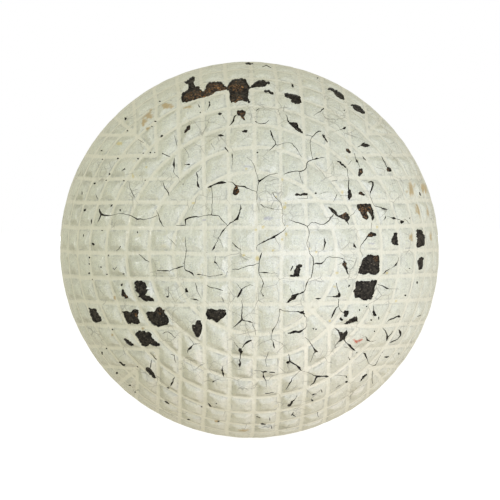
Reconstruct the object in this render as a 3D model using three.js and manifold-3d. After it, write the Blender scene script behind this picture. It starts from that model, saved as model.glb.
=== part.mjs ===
// Gutta-percha golf ball: a moulded ball of gum under a worn film of white paint.
// Lengths are in millimetres, +Z is up and the origin is the centre of the ball.
// The two halves of the mould met on the plane Y = 0, and its poles lie on the Y axis.

import * as THREE from "three";
import { mergeVertices } from "three/addons/utils/BufferGeometryUtils.js";
import Module from "manifold-3d";

const wasm = await Module();
wasm.setup();

// Ball, measured across the painted pads
const BALL_DIAMETER = 43.5;

// Moulded grooves: the width is taken between the shoulders of neighbouring pads
const GROOVE_DEPTH = 0.25;
const GROOVE_WIDTH = 1.0;

// Straight grooves: pitches from the middle one to the diagonal, and how many on each side of
// the middle one cross the pole without a break
const LINES_TO_DIAGONAL = 6;
const THROUGH_LINES = 2;

// Ring grooves: pitches from the pole to the parting line, and the first one that is cut
const RINGS_TO_PARTING = 11;
const FIRST_RING = 3;

// Ring at which the diagonal grooves start
const DIAGONAL_RING = 7;

// Groove crossings nearer to each other than this part of the radius share one corner
const CORNER_WELD = 0.0207;

// Paint film: its thickness in the grooves and on the pads, and the gap that keeps it off the gum
const GROOVE_PAINT = 0.15;
const PAD_PAINT = 0.12;
const PAINT_GAP = 0.02;

// Places on the front where the paint has flaked off: x and z of the middle, width and height,
// all as parts of the ball's radius
const CHIPS = [
  [-0.317, 0.818, 0.110, 0.166],
  [-0.193, 0.837, 0.156, 0.110],
  [-0.069, 0.828, 0.115, 0.221],
  [0.041, 0.864, 0.101, 0.083],
  [0.211, 0.782, 0.083, 0.087],
  [0.446, 0.818, 0.129, 0.083],
  [0.552, 0.736, 0.120, 0.083],
  [0.566, 0.202, 0.115, 0.097],
  [0.432, 0.184, 0.106, 0.064],
  [0.722, 0.064, 0.064, 0.064],
  [0.864, 0.060, 0.101, 0.106],
  [0.869, -0.069, 0.078, 0.078],
  [0.579, -0.060, 0.138, 0.120],
  [0.556, -0.193, 0.133, 0.120],
  [0.202, -0.083, 0.069, 0.069],
  [-0.570, -0.170, 0.087, 0.097],
  [-0.809, -0.322, 0.110, 0.083],
  [-0.630, -0.326, 0.115, 0.087],
  [-0.497, -0.322, 0.129, 0.110],
  [-0.202, -0.303, 0.110, 0.074],
  [-0.294, -0.382, 0.064, 0.110],
  [-0.543, -0.432, 0.138, 0.092],
  [0.446, -0.423, 0.060, 0.078],
  [0.487, -0.345, 0.092, 0.051],
];
const CHIP_SIDES = 6;

// How far a chip's cutter reaches beyond the film on either side
const CUTTER_REACH = 1.0;

const X = new THREE.Vector3(1, 0, 0);
const Y = new THREE.Vector3(0, 1, 0);
const Z = new THREE.Vector3(0, 0, 1);
const radius = BALL_DIAMETER / 2;

// Two unit vectors that span the plane touching the unit sphere at a direction
function tangentPlane(direction) {
  const helper = Math.abs(direction.z) < 0.9 ? Z : X;
  const right = helper.clone().cross(direction).normalize();
  return { right, up: direction.clone().cross(right) };
}

// A groove follows the circle where one plane cuts the unit sphere, wherever the mould was cut
function grooveCircles() {
  const circles = [];
  const lineStep = Math.PI / 4 / LINES_TO_DIAGONAL;
  const ringStep = Math.PI / 2 / RINGS_TO_PARTING;

  // Beyond the through lines, the straight grooves of each direction keep to their own two sides
  // and end where they meet those of the other direction on the diagonals
  for (let k = 1 - LINES_TO_DIAGONAL; k < LINES_TO_DIAGONAL; k += 1) {
    const through = Math.abs(k) <= THROUGH_LINES;
    const offset = Math.sin(k * lineStep);
    const reach = Math.abs(offset) - CORNER_WELD;
    circles.push({ axis: Z, offset, runsAt: (p) => through || Math.abs(p.x) >= reach });
    circles.push({ axis: X, offset, runsAt: (p) => through || Math.abs(p.z) >= reach });
  }

  // Rings around both poles, with the parting line as the last
  for (let k = FIRST_RING; k < RINGS_TO_PARTING; k += 1) {
    const offset = Math.cos(k * ringStep);
    circles.push({ axis: Y, offset, runsAt: () => true });
    circles.push({ axis: Y, offset: -offset, runsAt: () => true });
  }
  circles.push({ axis: Y, offset: 0, runsAt: () => true });

  // Diagonals across the parting line
  const reach = Math.cos(DIAGONAL_RING * ringStep) + CORNER_WELD;
  for (const side of [1, -1]) {
    const axis = new THREE.Vector3(1, 0, side).normalize();
    circles.push({ axis, offset: 0, runsAt: (p) => Math.abs(p.y) <= reach });
  }
  return circles;
}

// The points of the unit sphere that lie on two circles
function crossings(a, b) {
  const across = a.axis.clone().cross(b.axis);
  const spread = across.lengthSq();
  if (spread === 0) {
    return [];
  }
  const lean = a.axis.dot(b.axis);
  const base = new THREE.Vector3();
  base.addScaledVector(a.axis, (a.offset - b.offset * lean) / spread);
  base.addScaledVector(b.axis, (b.offset - a.offset * lean) / spread);
  const rest = 1 - base.lengthSq();
  if (rest <= 0) {
    return [];
  }
  across.setLength(Math.sqrt(rest));
  return [base.clone().add(across), base.clone().sub(across)];
}

// Angle of a point around a circle's axis
function angleOn(circle, p) {
  const { right, up } = tangentPlane(circle.axis);
  return Math.atan2(p.dot(up), p.dot(right));
}

// Point of a circle at an angle around its axis
function pointOn(circle, angle) {
  const { right, up } = tangentPlane(circle.axis);
  const size = Math.sqrt(1 - circle.offset ** 2);
  const p = circle.axis.clone().multiplyScalar(circle.offset);
  return p.addScaledVector(right, size * Math.cos(angle)).addScaledVector(up, size * Math.sin(angle));
}

// Corners where grooves cross, and for each corner the corners next to it along the grooves
function grooveNetwork() {
  const circles = grooveCircles();
  const corners = [];
  const onCircle = circles.map(() => new Set());
  const cornerAt = (p) => {
    const found = corners.findIndex((corner) => corner.distanceTo(p) < CORNER_WELD);
    return found >= 0 ? found : corners.push(p) - 1;
  };
  circles.forEach((a, i) => {
    circles.slice(0, i).forEach((b, j) => {
      for (const p of crossings(a, b)) {
        if (a.runsAt(p) && b.runsAt(p)) {
          const corner = cornerAt(p);
          onCircle[i].add(corner);
          onCircle[j].add(corner);
        }
      }
    });
  });

  const nextTo = corners.map(() => new Set());
  circles.forEach((circle, i) => {
    const angle = (c) => angleOn(circle, corners[c]);
    const loop = [...onCircle[i]].sort((c, d) => angle(c) - angle(d));
    loop.forEach((c, n) => {
      const d = loop[(n + 1) % loop.length];
      const turn = n + 1 < loop.length ? 0 : 2 * Math.PI;
      const middle = pointOn(circle, (angle(c) + angle(d) + turn) / 2);
      if (c !== d && circle.runsAt(middle)) {
        nextTo[c].add(d);
        nextTo[d].add(c);
      }
    });
  });
  return { corners, nextTo };
}

// Pads between the grooves, each as its ring of corners, anticlockwise from outside
function padOutlines({ corners, nextTo }) {
  const around = corners.map((corner, c) => {
    const { right, up } = tangentPlane(corner);
    const angle = (d) => Math.atan2(corners[d].dot(up), corners[d].dot(right));
    return [...nextTo[c]].sort((d, e) => angle(d) - angle(e));
  });
  const walked = new Set();
  const outlines = [];
  around.forEach((neighbours, start) => {
    for (const first of neighbours) {
      const outline = [];
      let [from, to] = [start, first];
      while (!walked.has(`${from} ${to}`)) {
        walked.add(`${from} ${to}`);
        outline.push(corners[from]);
        const choices = around[to];
        const back = choices.indexOf(from);
        [from, to] = [to, choices[(back + choices.length - 1) % choices.length]];
      }
      if (outline.length > 2) {
        outlines.push(outline);
      }
    }
  });
  return outlines;
}

// A pad with its middle, its shoulders set in from the grooves, and the triangles of its flat top
function shapePad(outline) {
  const middle = outline.reduce((sum, p) => sum.add(p), new THREE.Vector3()).normalize();
  const { right, up } = tangentPlane(middle);
  const flat = outline.map((p) => {
    const scale = radius / p.dot(middle);
    return new THREE.Vector2(p.dot(right) * scale, p.dot(up) * scale);
  });
  const count = flat.length;
  const inward = flat.map((p, i) => {
    const along = flat[(i + 1) % count].clone().sub(p).normalize();
    return new THREE.Vector2(-along.y, along.x);
  });
  const perimeter = flat.reduce((sum, p, i) => sum + p.distanceTo(flat[(i + 1) % count]), 0);
  const halfWidth = (2 * THREE.ShapeUtils.area(flat)) / perimeter;
  const inset = Math.min(GROOVE_WIDTH / 2, 0.6 * halfWidth);

  const shoulderPoints = flat.map((p, i) => {
    const before = inward[(i + count - 1) % count];
    const after = inward[i];
    return p.clone().addScaledVector(before.clone().add(after), inset / (1 + before.dot(after)));
  });
  const shoulders = shoulderPoints.map((p) => {
    const point = middle.clone().multiplyScalar(radius);
    return point.addScaledVector(right, p.x).addScaledVector(up, p.y).normalize();
  });

  // The flat top fans out from its bluntest shoulder, which is the notch on a pad that has one
  const turnAt = (i) => inward[(i + count - 1) % count].cross(inward[i]);
  const hub = flat.reduce((best, p, i) => (turnAt(i) < turnAt(best) ? i : best), 0);
  const top = flat.slice(2).map((p, n) => [hub, (hub + n + 1) % count, (hub + n + 2) % count]);
  return { outline, middle, shoulders, top, hasNotch: turnAt(hub) < 0 };
}

const pads = padOutlines(grooveNetwork()).map(shapePad);

// Triangles of one moulded surface: each pad has a flat top, or a single peak where it is hidden
function mouldedSurface(grooveRadius, padRadius, peaked) {
  const triangles = [];
  for (const pad of pads) {
    const low = pad.outline.map((p) => p.clone().multiplyScalar(grooveRadius));
    const high = pad.shoulders.map((p) => p.clone().multiplyScalar(padRadius));
    const count = low.length;
    if (peaked && !pad.hasNotch) {
      const height = Math.min(...high.map((p) => p.dot(pad.middle)));
      const peak = pad.middle.clone().multiplyScalar(height);
      low.forEach((p, i) => triangles.push([p, low[(i + 1) % count], peak]));
    } else {
      low.forEach((p, i) => {
        const next = (i + 1) % count;
        triangles.push([p, low[next], high[next]], [p, high[next], high[i]]);
      });
      pad.top.forEach(([a, b, c]) => triangles.push([high[a], high[b], high[c]]));
    }
  }
  return triangles;
}

function turnInsideOut(triangles) {
  return triangles.map(([a, b, c]) => [a, c, b]);
}

function geometryOf(triangles) {
  return mergeVertices(new THREE.BufferGeometry().setFromPoints(triangles.flat()));
}

function toManifold(geometry) {
  const bare = geometry.clone();
  bare.deleteAttribute("normal");
  bare.deleteAttribute("uv");
  const merged = mergeVertices(bare);
  const vertProperties = new Float32Array(merged.attributes.position.array);
  const triVerts = new Uint32Array(merged.index.array);
  return new wasm.Manifold(new wasm.Mesh({ numProp: 3, vertProperties, triVerts }));
}

function toGeometry(manifold) {
  const { vertProperties, triVerts } = manifold.getMesh();
  const geometry = new THREE.BufferGeometry();
  geometry.setAttribute("position", new THREE.BufferAttribute(new Float32Array(vertProperties), 3));
  geometry.setIndex(new THREE.BufferAttribute(new Uint32Array(triVerts), 1));
  return geometry;
}

// Prism that stands square to the surface and cuts one chip out of the film
function chipCutter([x, z, width, height], inside, outside) {
  const out = new THREE.Vector3(x, -Math.sqrt(1 - x ** 2 - z ** 2), z);
  const { right, up } = tangentPlane(out);
  const low = inside - CUTTER_REACH;
  const high = outside + CUTTER_REACH;
  const prism = new THREE.CylinderGeometry(0.5, 0.5, high - low, CHIP_SIDES);
  prism.scale(width * radius, 1, height * radius);
  prism.applyMatrix4(new THREE.Matrix4().makeBasis(right, out, up.negate()));
  prism.translate(...out.multiplyScalar((low + high) / 2));
  return toManifold(prism);
}

// Film between its outer face and its inner face, less the chips
const grooveRadius = radius - GROOVE_DEPTH;
const filmGroove = grooveRadius - GROOVE_PAINT;
const filmPad = radius - PAD_PAINT;
const filmFaces = [
  ...mouldedSurface(grooveRadius, radius, false),
  ...turnInsideOut(mouldedSurface(filmGroove, filmPad, true)),
];
const film = CHIPS.reduce(
  (rest, chip) => rest.subtract(chipCutter(chip, filmGroove, radius)),
  toManifold(geometryOf(filmFaces)),
);

// Gum under the film
const body = geometryOf(mouldedSurface(filmGroove - PAINT_GAP, filmPad - PAINT_GAP, true));

function makeNode(name, geometry, material) {
  geometry.computeVertexNormals();
  const mesh = new THREE.Mesh(geometry, new THREE.MeshStandardMaterial(material));
  mesh.name = name;
  return mesh;
}

const ball = new THREE.Group();
ball.name = "gutta_percha_golf_ball";
ball.add(
  makeNode("gutta_percha_body", body, { color: 0x35302a, roughness: 0.75, metalness: 0 }),
  makeNode("paint_film", toGeometry(film), { color: 0xd5d7c7, roughness: 0.4, metalness: 0 }),
);

export default ball;
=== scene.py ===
import itertools
import math

import bpy
import numpy as np
from mathutils import Matrix, Vector
from mathutils.geometry import delaunay_2d_cdt
from mathutils.kdtree import KDTree


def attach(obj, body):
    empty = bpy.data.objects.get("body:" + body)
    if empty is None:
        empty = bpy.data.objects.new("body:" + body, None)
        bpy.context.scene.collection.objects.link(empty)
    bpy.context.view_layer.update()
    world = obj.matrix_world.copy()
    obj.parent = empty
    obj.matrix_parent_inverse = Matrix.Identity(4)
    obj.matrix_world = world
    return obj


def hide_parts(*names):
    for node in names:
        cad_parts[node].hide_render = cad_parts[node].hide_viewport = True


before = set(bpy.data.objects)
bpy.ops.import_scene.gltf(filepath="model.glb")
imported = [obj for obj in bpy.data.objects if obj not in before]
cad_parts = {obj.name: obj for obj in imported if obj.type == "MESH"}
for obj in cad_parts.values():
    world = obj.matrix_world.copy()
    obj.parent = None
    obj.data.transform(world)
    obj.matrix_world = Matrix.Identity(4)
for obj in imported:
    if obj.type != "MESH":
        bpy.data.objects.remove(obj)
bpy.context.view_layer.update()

MM = 0.001
FULL_TURN = 2 * math.pi

# Ball and grooves in millimetres, as in the part's source
RADIUS = 21.75
LINE_STEP = math.pi / 4 / 6
RING_STEP = math.pi / 2 / 11
FIRST_RING, DIAGONAL_RING, LAST_RING = 3, 7, 11
THROUGH_LINES, LAST_LINE = 2, 5

# Two short strokes of one diagonal on the front: x at their ends, in ball radii
DIAGONAL_STROKES = ((-0.60, -0.54), (0.262, 0.382))

# Painted groove in mm: its depth, then from its middle the floor's edge, the straight flank's start and end
# and the pad's edge, and how far it wanders off its circle over which wavelength, with three seeds
GROOVE_DEPTH = 0.24
GROOVE_SHAPE = (0.10, 0.38, 0.82, 1.06)
GROOVE_WANDER, WANDER_LENGTH, WANDER_SEEDS = 0.05, 7, (11, 12, 13)

# Paint in mm: its thickness on the pads and in the grooves, how far the pads lie inside the full radius,
# and how far the film's underside sinks into the gum, so that no gap shows
PAD_PAINT = 0.10
GROOVE_PAINT = 0.16
PAD_DROP = 0.03
SEATING = 0.01

# Paint fills the grooves near the parting line: share filled there, where the filling starts as a height
# above the parting plane in ball radii, over which height it grows, and the share that the shading shows
FILLED, FILL_START, FILL_SPAN = 0.92, 0.42, 0.36
FILLED_LOOK = 0.5

# Unevenness: size, wavelength in mm, seed and number of waves. Heights of the paint and of the bare gum are
# in mm. The groove's depth, the shaded relief and the edges of stains change by shares.
LUMPS = ((0.008, 6, 22, 10), (0.008, 1.5, 23, 16), (0.004, 0.8, 24, 20))
CRUMBS = ((0.018, 0.9, 31, 16), (0.012, 0.5, 32, 16))
DEPTH_CHANGE = ((0.15, 9, 21, 10),)
RELIEF_CHANGE = ((0.3, 3.2, 25, 10),)
STAIN_EDGE = ((0.25, 0.6, 41, 10),)

# Shading of the moulded edges, in times the mesh's own relief: all over, what is added where the light
# rakes over them, the share lost on the worn front pole, and the extra tilt up and down where it rakes
RELIEF, RAKED_RELIEF, POLE_WEAR, RAKED_TILT = 0.95, 1.05, 0.50, 0.4

# Shading reads the slope this far to each side in mm, in two ways set out from a skew direction
SLOPE_REACH = 0.06
SKEW = (0.31, 0.17, 0.94)

# The ball has gone slightly oval: share, direction of its long axis in degrees from +X, and the share of the
# full radius that keeps it in its box
OVAL = 0.0061
OVAL_TURN = -28.5
FULLNESS = 0.9967

# Points on the rim where the halves of a mesh meet, and how far from the rim's plane the points along
# grooves and over pads stay, in ball radii
RIM = 470
GROOVE_POINTS_FROM, PAD_POINTS_FROM = 0.004, 0.006

# Rows of points beside a groove's middle, and the spacing of points in stains, in mm
PAINT_ROWS = (0, 0.2, 0.42, 0.7, 1.0)
GUM_ROWS = (0, 0.4)
STAIN_SPACING = 0.09

# Points of a half's flat picture that are nearer than this are one point
SAME_POINT = 1e-7

# Openings of the half that the photograph doesn't show: how many, and how far from the parting plane their
# middles and the cracks' ends stay, in ball radii
BACK_CHIPS, BACK_CRACKS = 26, 70
MIDDLES_FROM, CRACKS_FROM = 0.16, 0.05

# Seeds of the ragged edges on the front and of everything on the back
FRONT_SEED, BACK_SEED = 5, 8

# Width of the finest crack, in pixels of the image
FINEST_CRACK = 0.26

# Camera: distance in ball radii, its small turns in degrees, half the view as a tangent,
# and the pixel of the ball's centre in the 500 x 500 image
CAMERA_DISTANCE = 18.0
CAMERA_TURN = (1.06, -0.34, 1.90)
HALF_VIEW = 0.07336
HALF_IMAGE = 250
CENTRE = (249.44, 249.87)
PIXEL = RADIUS * CAMERA_DISTANCE * HALF_VIEW / HALF_IMAGE

# Radii at which the camera's rays look for the paint, from the outside in, in ball radii
RAY_STOPS = np.linspace(1.0, 0.976, 40)

# Colours of the paint in linear light, from the pads to the dirt and painted shade
PAD_COOL, PAD_WARM = (0.738, 0.784, 0.642), (0.766, 0.802, 0.660)
MOTTLE_DARK, MOTTLE_PALE = (0.62, 0.65, 0.565), (0.80, 0.81, 0.69)
THIN_BLUE, CHALK, GRAIN = (0.47, 0.51, 0.50), (0.88, 0.89, 0.80), (0.53, 0.55, 0.47)
# The worn flank colour is partly worn paint and partly painted shade down the groove flanks
FLANK, WORN_FLANK_AND_SHADE = (0.80, 0.81, 0.665), (0.535, 0.565, 0.515)
FOOT_TINT, FOXING = (0.70, 0.665, 0.535), (0.70, 0.655, 0.40)
# The low cream colour is painted light: the grooves' cream made brighter towards the foot of the ball
CREAM, LOW_CREAM_PAINTED_LIGHT = (0.805, 0.806, 0.664), (0.87, 0.86, 0.71)
# The grime colour is partly real grime and partly painted shade at the foot of the pads
GRIME_AND_SHADE, HAIRLINE, BRUSHED = (0.37, 0.39, 0.36), (0.25, 0.25, 0.21), (0.47, 0.48, 0.41)
# The broken edge colour is painted shade, nearly black, on the paint's broken edges and underside
DUST, SPECK, BROKEN_EDGE_SHADE = (0.50, 0.46, 0.30), (0.13, 0.12, 0.09), (0.075, 0.068, 0.05)

# Stains: how much of the paint's colour each one covers, and its own colour
STAIN_COLOURS = {
    "tan": (0.85, (0.47, 0.345, 0.145)),
    "yellow": (0.6, (0.66, 0.53, 0.13)),
    "red": (0.95, (0.48, 0.075, 0.025)),
    "blue": (0.6, (0.40, 0.41, 0.47)),
}

# Colours of the gum
GUM_DARK, GUM_GREY, GUM_PALE = (0.005, 0.0045, 0.0035), (0.055, 0.048, 0.036), (0.24, 0.21, 0.15)
GUM_BROWN, GUM_AMBER = (0.19, 0.085, 0.028), (0.50, 0.27, 0.10)

# Stage: reach of the white floor and surround from the ball's middle in mm, and the light from all around
STAGE_REACH = 1800
SKY_COLOUR, SKY_STRENGTH = (1, 0.951, 0.766), 0.595

# Patches where the paint has flaked off: name and outline, in pixels of the image
CHIPS = """
crown_left: 183.9,82.4 188.5,79.8 190.7,77.5 195,77.1 194.4,80.7 193.7,83 194.8,85.3 195.3,87.1 199.4,86.6
 200.3,89.4 202.5,91.8 206,93 205,97.2 199.8,98 195.7,99.8 188.5,101.6 182.8,102.7 181.2,98 182.1,93.5
 185.5,91.3 188.5,89.4 188.8,86.2 188,83.9
crown_arch: 202,92 204.8,89.8 206.5,85.7 208.5,82.5 214.8,81.8 221.2,81.8 223.5,84.4 226.2,86.9 229,87
 229.5,90.2 225.7,89.8 219.4,90.7 213.9,92.5 209.8,95.7 204.8,97.3
crown_block: 227,87.5 228.5,85.3 229.8,82.1 232.1,79.8 237.5,78.7 242.1,78.2 245.3,79.1 247.1,82.5 248.9,85.7
 250.7,87.1 250.7,88 248.3,89.8 248,93 248.6,94.4 248,98 248.6,100.5 250.2,102.3 248.4,103.8 247.8,101.4
 245.7,101.2 241.2,100.7 237.5,101.6 235.7,103.5 234.4,102.1 232.5,101.6 231.2,103.5 230.7,100.7 229.4,98
 229.8,96.2 229.5,92.5 228.9,90
crown_wing: 249.5,87.4 253.5,83.9 257.5,80.7 263.5,79.8 265.3,81.6 267.1,81.8 268.9,81.2 270.3,83 268.9,84.4
 266.6,83.9 266.2,85.7 262.1,86.9 255.7,87.3 250.5,88.2
crown_tail: 263.9,90.3 267.5,89.8 270.3,91.2 273.5,93 273.5,94.8 270.7,93.9 268.5,92.1 264.8,92.1
upper_bar: 284.4,93.3 289.4,93.9 294.8,94.8 300.7,97.1 301.4,102.5 299.4,103.5 295.7,104.4 293.9,102.5
 291.2,102.1 291.6,99.4 287.5,98 284.8,95.7
upper_comma: 237.1,110.7 241.2,110 245.3,110.7 245.5,113.9 243.5,116.2 244.4,118.5 245.9,120.7 243.9,120.3
 241.6,117.5 239.4,115.7 236.8,113.9
upper_left_fleck: 188.6,124.8 190,125.7 189.4,129.8 187.1,130.9 184.5,133.4 184.6,130.5 186.6,127.6
upper_dash: 241.6,131.2 245.7,129.8 247.5,130.7 246.6,132.7 243,132.1
upper_leaf: 288,120.7 290.3,122.4 294.4,122.7 297.5,123.9 298.5,128 301.2,130.7 303.5,133.9 300.3,132.1
 295.7,129.8 293.5,127.5 291.2,125.3 288.9,123
rim_top: 244.6,63.2 249,62.6 253.6,63.3 251.5,64.6 246.8,64.6
right_rim_leaf: 327.5,89.4 328.5,88.2 332.1,88.2 335.3,90 338.9,91.6 343,94.8 344.6,98.5 343.9,99.8 339.8,98.5
 337.1,97.1 334.8,94.4 333.5,91.8 330.7,90 328.5,90
right_rim_drop: 350.1,105.7 352.1,104.2 356.2,104.8 359.8,106.2 362.5,108.9 365.1,113 363,113.9 358.9,112.1
 355.3,110.3 352.5,108.5 353.5,106.6
right_moth: 359.6,145.7 362.5,143.5 363.9,142.1 366.2,143.9 370.1,145.5 367.1,146.9 362.5,146.4
right_dash: 321.8,134.2 323,134.5 325.3,137.3 326.6,140.5 327.5,143 325.3,139.8 323,136.4
right_sliver: 336.9,160.5 339.8,161.2 343,163.9 346.6,168 344.8,167.1 341.6,164.8 338.5,162.1
right_brown: 345.3,148.9 347.1,148.5 349.8,150.7 350.7,153 348,152.5 346.2,150.7
right_tooth: 358.5,168.7 362.5,168.5 363,171.6 361.6,173.9 360,176.6 358,175.7 358.5,173
right_seed: 387.1,167.1 389.8,167.5 391.8,170.3 390.3,171.8 387.5,171.6 386.9,169.4
right_blade: 348.5,188.5 350.7,191.6 352.1,195.7 350,199.4 348.5,200.1 347.8,195.7
right_flake: 358,193.2 360.5,191.4 362.5,192.8 365.1,194.8 364.5,195.7 361.6,195 358.9,194.6
right_bird: 328,206.5 330.7,208 334.4,209.8 336.6,212.5 337.7,215.8 339.9,215.2 343,213.9 344.8,211.9
 348,213.9 349.8,218 348,220.3 347.3,222.1 345.3,220.3 342.5,218.9 339.4,217.4 336.2,215.7 333.9,213.5
 331.2,211.6 329.4,208.9
right_hook: 357.1,204.4 364.4,203.9 370.7,204.1 371.2,207.1 373.3,210.3 373.9,216.6 372.7,221.2 371.6,220.3
 372.1,217.1 370.7,214.8 369.4,212.5 367.1,211.2 366.2,212.5 367.1,214.8 368.2,218 367.1,219.5 365.3,219.5
 362.5,216.6 360.7,212.5 357.5,208.9 356.9,206.6
right_square_speck: 400,220.1 403.9,220.7 403.5,222.5 402.1,223.9 400.3,222.5
right_hat: 370.7,231.6 373,233 375.7,233.5 376.8,234.8 375.3,235.7 372.5,237.1 370.3,236.6 368,236.8 366.6,238
 367.5,235.3 369.8,233.5
right_bell: 393.9,232.8 397.1,233 396.9,236.6 397.8,241.2 398.5,245 393.5,244.8 391.6,242.1 391.2,239.8
 393,237.1
rim_bar: 416.4,228.9 418,230.1 421.2,229.4 422.7,233 424.5,234.8 424.4,245.3 420.7,246.2 418.5,248 416.6,246.6
 416.6,243 417.5,240.3 416.6,235.7
rim_bar_low: 418.5,258.5 421.2,257.1 423.9,257.4 423,263 422.4,268.5 418.5,270.5 418.2,266.6 417.5,263
square_high: 363,258.3 366.2,257.1 368,254.6 371.6,255 374.4,255.7 378.5,254.8 379.1,257.5 379.4,267.5
 378.5,272.5 375.3,274.8 370.7,274.4 368.5,272.5 364.4,274.4 358,273.5 358.9,270.3 359.4,266.6 361.2,265.3
 361.6,262.1
square_low: 356.6,280.1 358,281.4 364.4,281 368.9,281 370.3,282.1 372.1,280.1 376.9,279.8 376.2,283.9
 374.4,288 373.5,293.9 370.7,299.8 368,298.9 365.3,300.3 361.6,299.4 358.5,297.1 355.3,298.3 354.8,293.5
 353,291 355.3,288.5 355.7,283.9
middle_seven: 299.8,264.4 301.6,264.4 302.3,265.9 299.8,268 299.8,271.2 298.9,274.4 299.8,275.5 297.5,276.6
 290.3,276.6 289.2,275.5 290.7,274.8 293.5,275.3 293.9,271.6 296.2,268 297.5,265.3
middle_spear: 285.7,303.5 288.5,300.3 291.2,297.5 292.5,295.3 296.2,293.9 300.3,293.2 303.5,291.2 304.8,291.6
 301.2,293.7 298,294.4 296.2,297.1 293.5,299.8 290.3,301.2 287.5,302.3
middle_corner: 299.8,312.5 303.9,310.3 304.4,314.8 302.1,313.9
middle_lizard: 287.1,333 290.7,332.4 293,330.7 295.7,330.5 299.4,331.2 301.2,329.8 303,329.6 302.3,331.5
 298.5,333 294.8,332.7 291.2,333.9
middle_wave: 294.8,194.4 296.2,193.2 299.8,194.4 303.9,193 307.5,194.4 307.1,195.1 303.9,195 301.2,195.7
 295.7,195.7
middle_amber: 235.7,185.7 238,187.1 239.5,190.7 238,193.9 235.7,195.3 233,193.9 233.5,189.4
spike: 344.2,259.2 345.7,262.1 346.9,267.1 348,273 348.5,274.8 346.6,272.1 344.4,267.5 342.1,264.4 343.5,262.5
flag: 338.9,292.5 340.5,294.4 339.8,297.7 338,297.1 333,297.1 332.5,296.2 337.1,295.5
low_block: 343.9,311.6 344.8,310.5 348,310.5 348.7,312.5 347.3,314.8 346.6,317.1 344.2,316.2
low_tri: 340.3,316.9 341.8,318.2 343,320.9 340.7,320.5 339.4,319.4
low_shoe: 343.9,323.6 348,320.9 351.6,318.7 356.2,316 357.1,317.1 358,321.2 353.5,322.1 349.4,323.5
 346.2,324.2
low_crow: 338.5,330.7 340.7,332.4 344.4,332.4 346.2,329.8 347.3,331.8 346.2,336.2 344.4,339.4 342.1,340.7
 337.1,343.6 339.4,340.9 340.3,337.5 339.4,334.4
low_peak: 373.5,309.6 375.1,313.5 376.6,316 374.4,316.4 372.4,315.1
low_drop: 359.4,382.1 360.7,379.4 362.4,376.5 364.5,374.8 366.5,373 366,375.7 363.8,377.8 361.5,380.3
low_pip: 344.8,382.1 346.6,380.7 348,381.5 346.2,383
bottom_stick: 287.1,405.7 290.3,403 293,399.8 294.4,400.3 292.5,403.5 289.8,406.6 288.5,406.6
foot_block: 206.5,309.8 208,309.1 212.1,308.7 214.4,309.8 217.5,310 222.1,308.9 225.5,310 225.9,312.5
 225.3,315.3 223,318 219.8,319.8 218,322.1 216.6,322.7 214.4,321.2 212.5,318.9 210.3,320 207.7,319.6
 206.8,316.6 206.2,313.5
foot_drop: 196.6,320.3 200.7,320.3 201.2,323 202.4,325.3 201.6,330.3 200.7,334.4 198.9,337.5 197.1,337.3
 194.8,334.4 193,331.2 192.1,327.5 192.5,324.4 195.3,324.8 196.2,322.5
foot_bead: 238.5,348 241.2,348 243,350.7 241.6,353.9 240.3,353.5 238.3,350.7
foot_bead_low: 239.2,361.8 240.4,361.8 240.8,365 239.9,367.3 238.6,365.4
left_boot: 135,282.1 137.1,280.4 138.9,281.4 140.7,280.4 142.9,282.1 145,282.4 146,285 147.1,287.1 146,289.3
 147.9,289.3 150.7,289 147.1,290.4 146.9,292.4 145.4,293.6 144.6,295 146.4,296.1 149.3,296.1 152.1,297.6
 154.6,301.1 151.4,301.4 148.3,300.7 145,300.7 142.1,299.6 140.7,297.6 137.9,296.7 139.3,295 138.9,293.3
 136.4,292.1 135.4,290 136.4,288.6 134.3,287.1 135.7,285.7 134.3,284.3
left_dart: 123,288.6 123.9,291.2 125.7,294.4 128.7,297.7 124.8,298.6 123.9,296.6 121.2,295.5 121.5,292.1
left_pip: 121.2,283.9 122.5,283.5 123,285.7 121.6,286.2
left_seed: 185.3,288.9 186.6,287.5 187.4,290.3 188.3,291.6 186.2,292.5 185.3,291.2
left_tick: 91.8,242.8 93.6,243 94.5,245.9 93,245.3
left_edge_bar: 88.5,307.6 90.5,308.8 95.7,308.6 97.1,312.5 99.8,315.7 102.1,320.7 100.3,321.2 98.5,321.6
 96.2,322.5 93.5,321.6 92.1,318 90.3,313.9
left_square: 122.1,311.2 128,311.2 128.9,312.4 132.1,311.5 132.5,309.8 135,308.9 138.5,310 138,313.5
 138.5,318.9 140.3,322.7 137.1,323.9 131.6,322.5 128.5,324.4 126.6,321.6 124.8,318 123.9,314.4
left_shield: 146.2,312.4 149.8,311.8 154.4,311.6 155.7,309.6 157.1,307.5 161.6,307.5 162.5,310 165.3,309.6
 163.9,312.1 166.6,315.3 168.9,319.8 167.5,324.8 162.5,325.7 158,326.6 154.4,325.7 151.6,323 148.9,320.7
 147.5,316.6
left_dog: 134.8,334.8 138,331.6 139.8,330.3 141.6,331.8 144.4,330.7 145.7,332.4 148.9,331.8 152.1,333.5
 151.2,336.6 154.4,340.3 160.3,344.8 156.6,346.6 153.9,346.2 150.3,343.9 148.9,345.7 145.7,346.6 142.5,345.7
 140.3,343 138.9,339.4
left_leaf: 123.5,338.7 127.1,339.6 130.7,341.6 134.4,345.3 131.6,346 128,344.4 126.2,342.1
left_fang: 145.3,368 147.5,367.1 150.3,368.5 152.5,371.6 154.8,375.3 155.1,378.7 152.5,377.1 149.8,374.4
 147.1,371.6 145.7,369.8
left_sprig: 118.9,361.6 121.2,361.8 123,363.9 125.7,365.7 122.5,365.3 120.3,363.6
"""

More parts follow.
